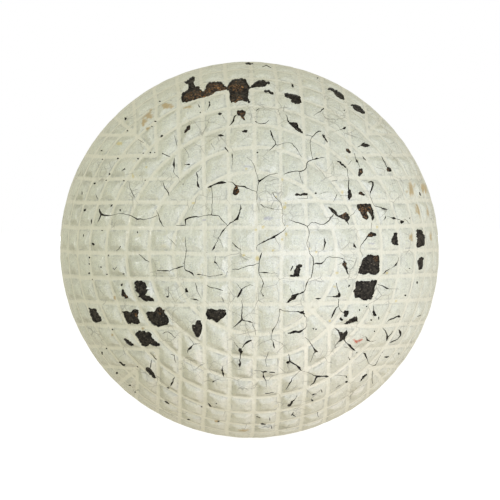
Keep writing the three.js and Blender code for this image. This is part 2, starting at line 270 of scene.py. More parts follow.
# Cracks in the paint: x, y and full width along each one, in pixels of the image
CRACKS = """
236.8,114.8,.6 234.6,116.4,1.1 233.5,120.7,1.3 229.4,125.7,.3
217.9,114,.6 219.8,113.9,2.4 222,113.8,.6
222,115,.3 225.3,120.3,.25
217.5,135.1,.4 220.7,135.3,1.9 223.9,135.7,.5
270.3,130.3,.8 271.6,134.8,1.3 273.2,139,.6 275.7,144.4,.9 268.9,150.5,.4
275.7,144.4,.7 277.5,145.3,.5 283.9,143,.3 288.9,142.5,.3 292.1,143.5,.5 295.7,147.5,.6 299.4,153.5,.4
 302.1,157.5,.25
285.7,114.4,.25 287.5,119.8,.8 288.6,122,1.2
305.7,135.1,.4 310.3,135.7,.5 312.5,136.6,.9 315.7,133,.7 318.9,131.2,1.3 321.2,131.5,.6
312.5,136.6,.6 310.5,140.3,.5 310.4,147,.4 311.6,153,.5 313,158.9,.5
324.4,157.3,.5 321.6,157.5,.5 318.5,158.5,.6 316.6,158.5,1.5 312.5,159.6,.8 308,161.6,.8 306.8,163.5,.7
 306.5,167.1,.7 303.9,170.3,.8 300.3,171.6,.8 294.8,171.2,.7 288.5,172.4,.9 283.9,174.4,.4
278,173.5,.25 275.7,173.3,.4 270.3,174.4,.6 265.3,177.1,.8 261.5,179.8,1.2 259.4,181.2,2 258.2,180.4,1
258.6,181,.7 258,178.9,.5 255.7,171.6,.4 254.4,166.2,.5 251.2,160.7,.3 246.6,157.1,.25
259,181.5,.8 258.3,184,.5 257.5,187.1,.5 256.8,192,.5 256.8,199.6,.5
299.4,172.1,.5 300.3,177.1,.4 303,184.4,.25
224.6,146.8,.4 225.7,148.5,1 228.5,152.5,.4
232.1,153.5,.5 232.2,155.5,.9 232.4,158,.4 232.5,165.3,.3
256.3,152.4,.4 257.4,152.5,1.5 258.4,152.6,.4
211.2,143,.3 214.4,149.8,.4
184.3,164.9,.4 186.5,164.6,.6 188.9,164.4,1.3 190.2,164.5,.4
201.6,167.5,.3 198.9,170.7,.3 196.5,172.5,.6 196.9,174.5,1 197.9,177.5,.8 197.6,180.5,.5 197.4,182,.8
 198,185.6,1.7 199.5,188,.4
207.5,187.5,.5 210.3,186.6,1.5 212.5,185.3,.9 214.4,184.4,1.1 218.5,183,1.6 222.1,182.5,2 224.5,182.6,1.4
 226.4,182.8,.5
228,181.8,.3 232.5,182.3,.5 235.7,185.7,1.1 239.4,186.2,.8 244.8,186.6,1.4 249.4,188.9,.6 253.9,190.7,.4
 256.8,192.2,.3
255.3,121.3,1 257.5,123,.4 261.2,123.9,.6 265.3,123.3,.8 268.9,120.3,.4
256.2,110.7,.6 257.6,109.4,.8 259.4,108.5,.4
262.1,67.1,.5 266.2,65.1,.9 271.2,68,.5
209,101.3,.5 209.5,102.5,1.2 209.6,103.6,.5 209.8,104.8,1.3 208.5,107.5,.4 207.1,110.3,.25
198.3,104.4,.5 199.2,106.5,.8 199.8,107.5,.3
291.8,83.3,.4 292.6,86,1.6 293.3,87.6,.6
183,225.5,.7 185.5,225.3,.6 185.5,223,.8 185.3,219.6,1.5 188.5,218,1.2 192.1,217.1,1.1 196,216.5,1
 200.7,216.6,.4 205.7,215.5,.5 211.2,215,.8 214.8,215.3,.8 218.9,215.9,.6 221.6,219.4,.6 227.5,225.7,.5
211.4,214.8,.6 212.1,209.4,.5 212.5,200.3,.5 212.1,192.1,.4 211.2,186.7,.4
240.4,204.5,.4 241,208.5,1.1 239.8,212.5,.9 238,216.6,1.3 237.3,218.9,2 233.9,221,.7 230.3,222.8,.9
 227.5,225.7,.5 225.5,228,.4 223,230.7,1.2 220.3,235.3,.6 218.5,237.5,.6 219.8,239.8,.4 221.6,243.9,.3
 223,247.5,.25
218.5,237.5,.4 217.5,241.2,.4 215.2,245,.5 213.9,248,1.4 212,250.7,.3
232.1,242.5,.4 235.7,246.2,.9 241.2,249.8,.3
262.1,252.1,.3 260.7,255.7,1 259.4,260.3,.7 259.2,264.8,.5 258.5,270.3,.6 259.4,274.8,.5 261.6,278.5,.4
 263.5,283.5,.8 262.1,287.5,.6 260.7,291.2,.5 262.4,294.5,.4 263.5,296.2,1.3
259.2,263,.4 251.2,265.3,.6 245.7,266.6,.5 238.5,269.4,.6 232.5,269.4,.5
258.8,272.2,.5 261.5,272.5,.5 264.3,272.5,1.2 266.8,272.6,1 269,272.9,.3 277.5,273.7,.25
260.5,204.2,.8 263.9,207.1,.5 273,208.9,.4 282.1,209.8,.25
272.8,192.8,.5 274.4,196.2,.7 278,199.8,.4 281.2,203.5,.5 282.5,209.4,.35 282.5,222.1,.3 284.8,226.2,.3
286,227.5,.3 283.9,230.3,.6 279.4,233.5,.8 275.7,235.7,1.1 274,237,2 271,238.4,1 267.5,239.8,.9
 263.9,241.6,1.1 260.3,243.5,.7 257.1,245.7,.5 256.5,250.3,.3
275.2,237.6,.5 276.2,240.7,.3 278.9,244.8,.25
288.9,219.8,.3 292,220.8,.4 295.7,222.3,.8 301.2,223.7,.8 307.3,226.5,.6 311.4,222.3,.5 315.3,222.5,.6
 318.9,223.9,.5 323,224.6,.5 326.6,222.5,.8 329.7,219.7,1.1 333.5,213.9,.6
307.3,226.5,.5 308.5,229.4,.5 309.2,233.9,.5 308,239.4,.4 306.5,243,.4 308.9,250.3,.4 309.8,253.9,.4
 313,257.5,.8 313.6,263,.7 312.5,271.2,.7 311.2,277.5,.6 308.5,279.4,.4 306.5,283.9,1 305.7,288.5,.4
 304.4,291.4,.8
297.5,198,.3 302,198.4,.4 307.4,198.6,.4 307.4,195.6,.3
293,266,.9 291.6,268.5,1 290.5,271,.6
292.5,294.8,.3 290.3,288.5,.2
237.4,297.6,.6 238.6,295.6,1.7 240.3,292.5,1.8 241.7,289.6,1.7 242.3,288.7,.7 245.7,286.6,.6 250.3,284.6,.5
 253,285.7,.3
241,289,.5 239.4,287.1,.4 236.6,283.5,.3
206.6,284.8,.25 210.3,287.4,.7 214.8,288,.6 219.4,289.5,.7 223,290.5,.5
195.1,282.6,.4 196.6,286.6,.7 197.1,290.7,.5 201.2,298.5,.3
185.9,270.5,1 189.4,271.6,1.1 192.3,273.4,1.3 193.9,275.7,.5
197,274.5,.5 198.3,274.4,1.1 201.2,274.6,.4 206.6,275.8,.5 209.4,276.5,.5 215.7,275.9,.4 219.5,275,.5
 222.4,274.3,.7
186,270.6,.8 184.4,268.5,.5 184.4,262.1,.5 185.7,255.7,.5 186.5,250.3,.5 185.2,243.5,.5 185.7,236.6,.25
215.5,255.7,.3 214.9,260.5,.5 214.7,262.2,1.6 217.5,265.3,.35 220.3,269.4,.25
225.7,275.7,.4 227.5,271.2,.4
221.6,297.1,.4 223.5,301.6,.6
190.3,298.9,.4 192.5,299,.7 194.8,299.4,1.1 198.5,300.7,.35
241.4,300.3,.4 242.5,304.8,.4 241.9,310.3,.7 241.6,316,.9 242.1,319.6,1.7 239.4,322.1,1.1 236.6,324.8,.9
 233,327.5,.3
242.3,319.9,1.1 245.7,321,.6 249.8,321.8,1.1 253,322.7,.4 252.6,324.8,.5 254.8,328.9,.5 255.7,335.3,.3
279.4,309.2,.8 283,310.7,.4 287.5,311,.6 292.1,311.6,.5 296,311.7,.6 300.6,312.5,1.2
279.6,309.6,.5 279.8,313.5,.4 278,320.7,.4 274.8,327.1,.4 272.6,330.2,1 271.6,334.4,.4 270.7,338.9,.4
 273,341.6,.5 273.6,345.3,1.1 274.5,348.2,.7
303.8,314.2,.7 306.6,317.6,.4 305.9,321.6,.3 306.6,325.3,.4 305.3,328.5,.6 302.6,329.8,.9
242.4,347.6,.7 244.4,344.4,.8 246.6,342.4,1.5 249.4,340.9,1.3 252.1,340,.5
238.6,348.2,.6 236,344.6,.4 233.9,342.1,.3
240.7,353.6,.9 240.5,358,.6 240.2,362,1
188,349.8,1.2 190.5,348,1.7 192.3,345.6,.8 193.9,344.4,.6 196.5,343.6,.4 200.3,343.5,.3
193.9,344.4,.4 192.5,341.6,.4 188.5,336.6,.3
187.9,350,.8 187.5,353,.3
223,365.8,.3 222.3,368.5,.7 222.1,370.3,1.8 222.6,371.8,.7 223,373.6,2 223.7,376,.5 224,377.5,.25
212.6,382.5,.4 213,381.4,1.4 215.3,380.7,.4 219.4,378.7,.3
253.9,370.3,.25 260.3,370.7,.4 263,372.1,1 265.3,371.5,1.2 267.4,371.8,.5
263.2,372.2,.9 263.2,374.5,.6 263.4,376.6,1.4 264.8,378.7,.8 266.2,381.6,.4 266.6,387.1,.25
269.4,372.1,.8 272,372.3,1.1 275,372.5,.7
267.1,367.1,.4 265.3,359.8,.4 267.8,354.4,.5 268.5,352,.3
265.2,393.6,.7 269.4,393.3,.7 273.9,392.7,.35
304.8,337.1,.3 308.9,340.3,.5 313,347.1,.7 315.6,351.2,2.2 317.8,351.7,.8
315.4,352,.8 313.3,353.9,.6 312.5,357.1,.5 310.3,362.5,.3
288.5,353.9,.4 289.4,357.5,.8 289.6,361.2,1.3 292.5,363,1.3 296.6,365.3,.9 299.4,368,1.9 300.7,370.3,.6
 305.3,371.6,.25 311.2,373.9,.4 314.8,375.7,.9 317.1,376.4,1.8 321.6,376.4,.9 326.8,376.4,1.6 328.7,376.4,.5
286.2,362.4,1 287.6,362.6,2.8 289.3,361.8,1.4
300.3,370.4,.4 293.9,376.6,.4 289.5,383.5,1 285.7,389.8,.4
317,376.6,1.3 314.8,380.7,1 313.5,383.3,.9 310.3,386,.35
297.1,395.3,.6 295.7,398,.4 294,400.4,.8
293.5,411.6,.4 292.5,414.4,.9 291,415.2,1
292.5,414.4,.9 293.5,415.3,1 295.7,416.6,.6
312.4,394.8,1.2 315.7,393.5,.5
311.3,399.4,.8 312.1,400.3,2 313.2,401,.6
208.3,403.2,.6 210.1,405.8,1.4 211.5,407,.5
256.4,416.5,.7 260.3,418,.7
269.7,417.4,.5 269.8,420.4,1
260.6,423.5,.6 262.1,423.9,1.4 265.9,424.4,.4
271.6,425.8,.4 271.7,428.6,.9
187,419,.4 188.5,419.4,1.2 190.3,419.8,.4
99.3,208.7,.7 99.8,211.2,1.2 101.2,214.2,2 104.4,215.3,1.3 109.8,215.5,.6 114.4,214.8,.4 118,213.7,.35
 123,213.5,.45 126.2,214.6,.5 130.7,215.5,.6 135.3,218,.8 137.1,219.3,1.4 140.3,218.9,.9 145.3,219.5,.4
 149.8,218.3,.5 155.3,216.5,.5 157.3,215.2,.3
101,214.6,1.2 99.4,218.5,1 97.5,222.4,.4
119.9,209,.5 120.3,210.4,1.3 120.4,211.6,.4
110.7,207,.5 111.6,205.3,1.5 112.6,204.4,.5
83.9,211.6,.4 84.8,210.1,1.4 86.4,208.6,.4
95.7,193.9,.3 97.1,197.5,.8 98,199.2,.3
91.5,219.4,.4 91.5,222,1 91.4,224,.4
156.6,210.3,.3 158.9,216.6,.6 160.3,221.2,1 162.5,225.3,.5 164,227,.25
163,182,.3 163.9,185.3,.8 166.6,189.8,.8 168.5,193,1 168.9,195.9,.35
129.2,182,.25 129.4,187.1,.3 131.2,190.3,.5 133,194.4,.7 135.1,198.2,.3
176.2,225.3,.4 180,225.4,.5 183.4,225.5,.8
157.1,270.5,.7 161,270.6,.6 165.3,270.7,.9 169.8,271,.5 174.8,268.5,.4 178.9,267.4,1.2 183.5,266.2,.5
138.7,254.2,.4 142.5,257.1,.6 145.7,260.3,.8 149.6,262.1,.3
167.1,236.6,.25 171.6,240.7,.4 176.2,245.7,.35
120.7,246.2,.9 118.9,248.9,.6 116.2,250.7,.3
113,268,.7 114.5,269.5,.8 116.6,267.1,.5
166.2,296.6,.8 167.5,296.7,1.5 168.6,296.5,.8 168.5,292,.35 168.5,286.6,.4
162.5,333.9,.4 165.3,332.1,.6 168,331.8,.6 171.6,333.9,.7 175.7,337.8,.5
170.7,354.2,.5 174.4,355.3,.6 174.8,359.8,.7 176.2,363,.3
174.8,377.3,.7 173,381.6,.9 171.6,383.7,1.3 170.5,386.4,.3
166.8,387.4,.5 168.2,387.9,1.1 169.5,388.3,.4
164.8,400.9,.7 167.1,402.5,1.5 169.3,403.8,.6
150.3,353,.4 153.5,356.2,.5 156.6,359.4,.9
151.5,360,.6 150.7,366.2,.9 150,368.2,.6
137,366.2,.9 138.4,367.4,.5
101.8,352,.5 102.3,354,1.1 102.6,354.8,.4
162,153.4,1.2 164.5,154.4,.6 167.1,155.7,.8 170.7,157.1,.3
174.4,157.8,.4 174.1,161.5,.8 173.8,164.5,1.7 174.3,168,.6 173.5,171.2,.5 174.8,174.4,.4 179.4,178.5,.25
174.6,135.6,.4 176.2,142.5,.6 177.1,146.2,.3
160.6,137.4,.5 161.6,135.8,1.9 163.2,135.4,.7
125.4,120.2,1 125.8,117.6,2
138,139.4,.5 143.9,142.5,.35
183.5,147.5,.3 187,152,.3 188.9,158,.3
121.6,170.7,.3 125.3,168.6,1.2
346.9,168.3,.6 347.7,172.1,.5 347.5,175.3,.35 348.9,178.9,.5 348.6,182.5,1 348.4,186,.8 348.6,189,1
348,164.8,.4 351.6,160.3,.25
354.5,153.5,.4 355.7,158.9,.5 356.9,161.3,1.6 358,162.6,.5 359.8,167.3,.3
362.5,156.2,.4 363.9,158.5,1 366.2,160.7,.35
381.6,156.6,.4 383.5,160.7,.9 386.6,166.6,.6 387.6,168,.9
402.5,163.5,.35 405.3,168.5,.35
368.3,182.2,.8 371,181.6,1.1 372.8,182.3,1.6 372.9,185.3,1.6 371.5,189.8,1.3 370.2,193.5,.6 369.8,196,.4
 372.1,201.2,.4 374.8,206.2,.4 380.7,207.4,.7 384.3,208.9,1.3 387.5,209.6,.3
331.6,181.2,.5 337.1,180.3,.4
324,108.5,1.2 318,112.5,.35 313.5,115.7,.25
338,130.7,.3 342.5,129,.5 344.4,128.3,2 345.8,127,.7
357.5,147.1,.4 360,145.8,.7
347.8,195.5,.35 340.3,195.5,.25
318.9,194.4,.25 322.5,193,.3 328,191.9,.25
333.5,201.6,.3 336,196.5,.6 336.8,194.4,.6
314.6,193.4,.5 315.8,193.2,1.5 317,193.2,.4
350.2,216,.4 353.5,213.9,.35 356.9,209.2,.3
347.1,221.6,1 348.9,224.8,.4
383.7,220,.3 385.3,218,.9 385.8,215.5,.3
387.1,216.2,.3 391,217.6,.4 393.8,218.2,2 396,218.8,.5 400.3,219.8,.5
403.6,220.2,.4 405,219.4,.4 409.8,223.9,.35
419,192,.7 419.9,194,1.2 420.9,196,.4
366.8,237.6,1 363.5,241.6,.6 361.2,244.8,.6 360,247.7,.4 360.3,251.2,.3 362.5,256.6,.35
371.6,222.6,.3 371.2,231.2,.3
353.8,243.3,.5 354.2,245.8,1.7 356.4,248.2,.4
324.5,238.2,.4 325.2,242.6,1.3 324.2,247.2,.8 323.4,250,.3
377,283.9,.35 383.9,286.6,.9 386.9,288.4,1.3 389,288.9,.3 398.9,288.9,.25
343.6,259.2,.9 341,258.2,.5 338,257.4,.5 329.8,256.5,.4 326.2,258,.5 323.4,262,.6 321.7,263.4,1.1
 317.4,263.5,1.1 313.6,264.4,.6
346.4,260,.3 353.5,261.4,.35
398.5,257.5,.35 397.5,262.1,.5 395.8,264.8,1.6 394.2,266.3,.6 390.3,268.9,.3 385.7,271.2,1 382.5,273.5,.3
336.2,282.6,.4 337.1,287.5,.5 338.9,292.1,.8 339.2,293.6,1.2
332.7,296.6,.7 330.7,296.5,.4 326.6,296.6,.25
315.5,298.5,.6 318,298.7,1.2 321,298.5,.4
348.2,287,.5 349.1,285.8,1.6 350,284.9,.5
338.7,299,.5 338.5,306.2,.6 336,308,.7 334.3,311.2,1.6 332.6,315,1.2 330.7,318.5,.35
338.7,306.4,.4 340.3,310.3,.5 343.8,312.6,.6
334.6,327.8,.5 336.8,329.3,.9 339,331.4,1.3
337.4,343.2,.8 335.7,344.6,.5 335.3,347.8,.3
344.2,339.4,.8 347.1,343.5,.7 349.8,345.5,1.7 351.2,347.5,1.9 353.3,349.3,1.3 355.4,350.8,.4
365.3,336.2,.3 367.2,340,1.5 370.7,341.6,.35 376.2,340.3,.25
370.7,319,.5 371.2,319.9,1.5 371.6,320.8,.5
373.6,305.5,.35 373.7,310,.7
387.1,321.6,.3 390.7,319.1,1 395.3,317.3,1.1 397.4,316.3,1 398.7,316.3,2.6 400.3,317,.8
417.1,316.6,.35 419.4,315.7,.8 421,315,.4
382.5,327.5,.3 385.3,330.7,.8 386.9,334.4,1 387.2,338,2 386.5,341,.6
387.2,337.4,1 389.4,335.7,.8 393,330.7,.25
398.7,329.4,.7 400.2,332.1,1.9 400.6,335.3,1 398.9,337.5,.7 395.3,340.3,.9 391.6,341.8,1.2 389.6,343.1,.4
384.2,357,.6 386.6,357.1,1.2 389,356.3,.4
363.3,353,.6 364.8,353.6,1.8 367.1,358.9,.6 368.5,363.5,.3 373,365.5,.4 375.3,365.1,.7 378,359.8,.35
 380.7,354.4,.25
355.8,353.2,.5 357.2,352.4,.9
348.3,357,.4 349.8,359.9,.8
312.5,328.2,.5 313.9,329.1,1.2
335.3,375.3,.25 343.5,375.7,.3 346.2,376,.8 346.5,377.7,1.3
340.3,384.8,.4 336.2,388,.4
372.5,370.7,.5 372.1,377.1,.4 372.5,383.5,.5
320.7,388.9,.4 322.2,392.3,.9
317.5,412.1,.6 318.5,417.1,.5
"""

# Pits through the paint: x, y, width and height in pixels
PITS = """
292.8,85.5,1.6,4 315.7,193.2,3,2 366.6,306.5,2,1.8 359.5,310,1.6,3 405.3,295.3,2.4,2 417.1,282.5,2,4
 409.4,268.5,2,1.4
409.8,218,1.6,1.6 316,329.4,2,2 374.4,331.2,1.6,2 378.7,318,1.8,4 398.9,353.9,1.6,3 188.5,419.4,4,1.6
 218.5,421.4,3,1.6
216.2,403.5,2,1.4 201.6,406.6,2,1.4 120.3,210.1,2,3 84.8,210.1,3,2.6 91.5,221.2,1.6,5 102.1,230.5,2,1.4
 83.5,235.7,1.4,4
82.1,193.5,1.4,5 137.5,232.1,1.6,3 89.4,257.5,2,2.4 101.2,267.1,1.8,2.6 89.2,273.2,2.6,2.4 107.1,274.4,2.6,1.6
89.4,263.9,1.6,2 108.5,255.3,1.4,2 123.5,273.9,3,1.6 92.4,279.4,1.6,1.6 112.4,329.4,2,2 106.6,348.5,2.2,2
 102.1,353,1.8,3.4
116.9,373,2.6,2.6 129.8,385.3,3.4,2 135.3,392.1,2,1.6 159.8,101.5,2.4,1.6 155.3,121.4,3.4,1.6
 152.1,126.6,1.6,1.6
150.3,152.5,2.4,1.8 154.8,152.5,1.8,1.4 143.3,153.3,1.8,1.6 138,158.7,2.6,2 118,158.5,2.8,2.2
 102.5,159.4,2,1.4
109.6,173.9,2,3 106.2,180.3,2,1.4 123.9,180.9,3,2 94.8,183.5,3,2.4 101.6,150.7,2.4,2 145.3,180.3,2.4,1.4
 200.3,112.5,1.6,2
317.5,78,2,1.6 344.4,110.3,1.8,1.6 127.5,130.7,1.8,1.8 183.1,184.5,1,2.4
"""

# Stains in the paint: the colour's name, then x, y, half-width and half-height in pixels
STAINS = """
tan: 167.2,105.6,4.2,2.6 147.8,114.6,3.2,3.4 143.6,121,2.4,3.8 150.6,110.8,1.4,1.6 187.2,107,3.2,1.5
 411.8,188,3.4,6
tan: 418.6,209.6,3,4.8 428,211.5,1.8,4 411.6,236.6,2.2,3.4 422,188.3,2,4.2 426,188.6,1.4,4.2 430.8,236,1,3.4
tan: 148.4,128.8,2.4,1.4 112.4,335,1,1 142.8,328.4,1.2,.8 114.7,297.7,1,1.6 243.8,430.8,4.6,1.1
 216.6,420.9,2.2,.7
yellow: 119.6,143.5,2.6,1.4 257.4,258.9,1.2,2.2 262.8,227.1,1.2,1.3 255.5,229.8,1.3,1.1 286.2,233.9,1.1,1.4
 282.1,239.4,1,1 243.7,255.3,1.4,.9
yellow: 246.4,168.8,1.1,.9 282.4,180,1.1,1.5 133.2,176.3,1.1,2 273,250.3,1,.9 284.4,207.5,1.2,1
 342.5,191.9,1.2,1.3
yellow: 336.9,272.8,1,1 316.2,252.1,1,1 334.4,286.6,1.4,.9 386.9,273,.9,.9 396.2,301,1.1,.9 309.8,248.5,.8,.9
yellow: 193,203,1.1,.9 275.7,196.6,1,.9 285.3,203,.9,.8 146.2,167.1,.9,.8 329.6,320.8,.9,.9 377.1,227.1,1,1.2
 287.1,226.2,.9,.8
red: 356.4,341.5,1.8,1.3 358.4,340.7,1.8,1.2 360.4,340.1,1.8,.9 362,339.6,1.1,.7
blue: 267.5,218.3,4.8,1.5 246.8,166.3,3,.7 371.5,243.6,3.4,.8 205,220,2.2,1
"""

# Places where weathered brown gum shows in the chips: x, y and reach in pixels
RUST = """
214,86,12 201,96,7 238,84,5 237,99,5 192,97,6 364,211,5 369,208,4 236,189,4 159,309,3.4 343,213,4 360.5,170,3
369,235,3 347.5,150,3 241,114,4 187,129,3 344,263,3 361,193,3 377.5,258,3 126,297.5,3 388,168,2 135,314,2
"""


def read_rows(text):
    """Rows of number groups, each with the word before its colon. An indented line continues a row."""
    rows = []
    for line in text.strip().splitlines():
        name, _, rest = line.rpartition(":")
        groups = [tuple(float(n) for n in group.split(",")) for group in rest.split()]
        if line.startswith(" "):
            rows[-1][1].extend(groups)
        else:
            rows.append((name, groups))
    return rows


def unit(v):
    """Vectors along the last axis, at length 1."""
    return v / np.linalg.norm(v, axis=-1, keepdims=True)


# Camera's right, forward and up in the ball's frame, as the rows of one matrix
turn_x, turn_y, turn_z = (math.radians(a) for a in CAMERA_TURN)
camera_axes = np.array(
    Matrix.Rotation(turn_z, 3, "Z") @ Matrix.Rotation(turn_x, 3, "X") @ Matrix.Rotation(turn_y, 3, "Y")
)


def smooth(t):
    """A climb from 0 to 1 with soft ends."""
    t = np.clip(t, 0, 1)
    return t * t * (3 - 2 * t)


def ripple(p, wavelength, seed, count=10):
    """Smooth random field of unit spread over directions p, from plane waves of about one length in mm."""
    rng = np.random.default_rng(seed)
    waves = rng.normal(size=(count, 3))
    waves *= FULL_TURN * RADIUS / wavelength / np.linalg.norm(waves, axis=1, keepdims=True)
    waves *= rng.uniform(0.7, 1.4, (count, 1))
    return np.sin(p @ waves.T + rng.uniform(0, FULL_TURN, count)).sum(1) / math.sqrt(count / 2)


def unevenness(p, layers):
    """Sum of ripples, each of them with its size, wavelength, seed and number of waves."""
    return sum(size * ripple(p, *wave) for size, *wave in layers)


def fullness(p):
    """Share of the full radius that the oval ball has in each direction."""
    around = np.arctan2(p[..., 2], p[..., 0]) - math.radians(OVAL_TURN)
    return FULLNESS + OVAL * (1 - p[..., 1] ** 2) * np.cos(2 * around)


def groove_circles():
    """Grooves of the mould as circles on the ball: axis, angle from its middle plane, and how far outside the
    groove's run a point lies."""
    x_axis, y_axis, z_axis = np.eye(3)
    circles = []
    for k in range(-LAST_LINE, LAST_LINE + 1):
        reach = 0.0 if abs(k) <= THROUGH_LINES else math.sin(abs(k) * LINE_STEP)
        for axis, side in ((z_axis, 0), (x_axis, 2)):

            def outside(p, side=side, reach=reach):
                return np.maximum(reach - np.abs(p[:, side]), 0)

            circles.append((axis, k * LINE_STEP, outside))
    for k in range(FIRST_RING, LAST_RING + 1):
        angle = math.pi / 2 - k * RING_STEP
        for sign in (1, -1) if k < LAST_RING else (1,):
            circles.append((y_axis, sign * angle, lambda p: np.zeros(len(p))))
    reach = math.cos(DIAGONAL_RING * RING_STEP)
    for sign in (1, -1):
        axis = np.array([1, 0, sign]) / math.sqrt(2)
        circles.append((axis, 0.0, lambda p, r=reach: np.maximum(np.abs(p[:, 1]) - r, 0)))
    axis = np.array([1, 0, 1]) / math.sqrt(2)
    for ends in DIAGONAL_STROKES:

        def outside(p, ends=ends):
            return np.maximum(np.maximum(ends[0] - p[:, 0], p[:, 0] - ends[1]), 0) + (p[:, 1] > 0)

        circles.append((axis, 0.0, outside))
    return circles


CIRCLES = groove_circles()


def rounded_ramp(t, a, b):
    """A slope that starts between a and b and stays."""
    return np.clip(t - a, 0, b - a) ** 2 / (2 * (b - a)) + np.maximum(t - b, 0)


def groove_profile(d):
    """Share of the groove's depth at a distance from its middle, in mm."""
    foot_in, foot_out, edge_in, edge_out = GROOVE_SHAPE
    climb = rounded_ramp(d, foot_in, foot_out) - rounded_ramp(d, edge_in, edge_out)
    return 1 - climb / ((edge_in + edge_out - foot_in - foot_out) / 2)


def groove_share(p):
    """How much of the groove's depth is cut at each direction: 1 on a groove's floor, 0 on a pad."""
    drift = np.stack([ripple(p, WANDER_LENGTH, seed) for seed in WANDER_SEEDS], 1)
    q = unit(p + GROOVE_WANDER / RADIUS * drift)
    pad_edge = GROOVE_SHAPE[-1]
    share = np.zeros(len(p))
    for axis, angle, outside in CIRCLES:
        across = np.abs(np.arcsin(np.clip(q @ axis, -1, 1)) - angle)
        near = across * RADIUS < pad_edge
        d = np.hypot(across[near], outside(q[near])) * RADIUS
        share[near] = np.maximum(share[near], groove_profile(np.minimum(d, pad_edge)))
    return share


def film_radius(p, share, relief=1.0, fill=FILLED):
    """Radius of the paint's outer face, in mm."""
    filled = fill * smooth((FILL_START - np.abs(p[:, 1])) / FILL_SPAN)
    depth = GROOVE_DEPTH * (1 + unevenness(p, DEPTH_CHANGE)) * (1 - filled)
    return np.minimum(RADIUS - PAD_DROP - depth * relief * share + unevenness(p, LUMPS), RADIUS) * fullness(p)


def film_normals(p):
    """Directions that the paint's outer face looks in, with crisper moulded edges than the mesh has."""
    x, y, z = p.T
    # The light rakes over the left and the lower front
    raking = smooth(0.45 - 0.8 * x - 0.45 * z) * smooth((0.7 - y) / 0.6)
    relief = RELIEF + RAKED_RELIEF * raking
    relief *= np.clip(1 + unevenness(p, RELIEF_CHANGE), 0.3, 1.7)
    relief *= 1 - POLE_WEAR * smooth((-y - 0.80) / 0.14)
    reach = SLOPE_REACH / RADIUS
    u = unit(np.cross(p, SKEW))
    slopes = []
    for way in (u, np.cross(p, u)):
        ends = []
        for sign in (1, -1):
            q = unit(p + sign * reach * way)
            ends.append(q * film_radius(q, groove_share(q), relief, FILLED_LOOK)[:, None])
        slopes.append(ends[0] - ends[1])
    normals = unit(np.cross(*slopes))
    normals[:, 2] += RAKED_TILT * raking * (normals[:, 2] - z)
    return unit(normals)


def gum_radius(p, share):
    """Radius of the gum under the paint, in mm."""
    crumbs = np.abs(unevenness(p, CRUMBS))
    return film_radius(p, share) - PAD_PAINT - (GROOVE_PAINT - PAD_PAINT) * share - crumbs


def on_ball(pixels):
    """Directions from the ball's centre to the places of the paint that show at pixels of the image."""
    pixels = np.asarray(pixels, float).reshape(-1, 2)
    ray = np.ones((len(pixels), 3))
    ray[:, 0] = (pixels[:, 0] - CENTRE[0]) / HALF_IMAGE * HALF_VIEW
    ray[:, 2] = (CENTRE[1] - pixels[:, 1]) / HALF_IMAGE * HALF_VIEW
    ray = unit(ray)
    start = np.array([0, -CAMERA_DISTANCE, 0])
    along = -(ray @ start)
    result = np.zeros((len(pixels), 3))
    left = np.arange(len(pixels))
    for reach in RAY_STOPS:
        depth = along[left] - np.sqrt(np.maximum(along[left] ** 2 - start @ start + reach**2, 0))
        hit = start + depth[:, None] * ray[left]
        p = hit @ camera_axes / np.linalg.norm(hit, axis=1, keepdims=True)
        result[left] = p
        left = left[film_radius(p, groove_share(p)) < reach * RADIUS]
        if not len(left):
            break
    return result


def flatten(p, side):
    """Stereographic picture of one half of the ball on a plane, seen along Y."""
    return p[:, [0, 2]] / (1 + side * p[:, 1])[:, None]


def raise_up(q, side):
    """Directions of points of that picture."""
    s = (q**2).sum(1)
    return np.stack([2 * q[:, 0], side * (1 - s), 2 * q[:, 1]], 1) / (1 + s)[:, None]


def field_points(side, rows, step, fill):
    """Points along the grooves of one half, on rows beside their middles, and over the pads between."""
    found = []
    for offset in rows:
        for sign in (1, -1) if offset else (1,):
            for axis, angle, outside in CIRCLES:
                tilt = angle + sign * offset / RADIUS
                helper = np.array([0, 0, 1.0]) if abs(axis[2]) < 0.6 else np.array([1.0, 0, 0])
                u = unit(np.cross(helper, axis))
                v = np.cross(axis, u)
                count = max(8, int(FULL_TURN * RADIUS * math.cos(tilt) / step))
                t = (np.arange(count) + 0.5) * FULL_TURN / count
                ring = math.cos(tilt) * (np.cos(t)[:, None] * u + np.sin(t)[:, None] * v)
                p = ring + math.sin(tilt) * axis
                found.append(p[(outside(p) == 0) & (p[:, 1] * side > GROOVE_POINTS_FROM)])
    # An even spiral from pole to pole
    count = int(2 * FULL_TURN * RADIUS**2 / fill**2)
    i = np.arange(count) + 0.5
    height = 1 - 2 * i / count
    around = math.pi * (1 + math.sqrt(5)) * i
    flat = np.sqrt(1 - height**2)
    p = np.stack([flat * np.cos(around), height, flat * np.sin(around)], 1)
    found.append(p[p[:, 1] * side > PAD_POINTS_FROM])
    return np.concatenate(found)


def thin_out(p, spacing, taken):
    """The points that keep this spacing in mm from the ones before them and from those already taken."""
    cells = {}

    def cell_of(c):
        return tuple(int(a // spacing) for a in c)

    for c in (taken * RADIUS).tolist():
        cells.setdefault(cell_of(c), []).append(c)
    kept = []
    for n, c in enumerate((p * RADIUS).tolist()):
        cell = cell_of(c)
        around = itertools.product(*((a - 1, a, a + 1) for a in cell))
        if all(math.dist(o, c) >= spacing for place in around for o in cells.get(place, ())):
            cells.setdefault(cell, []).append(c)
            kept.append(n)
    return p[kept]


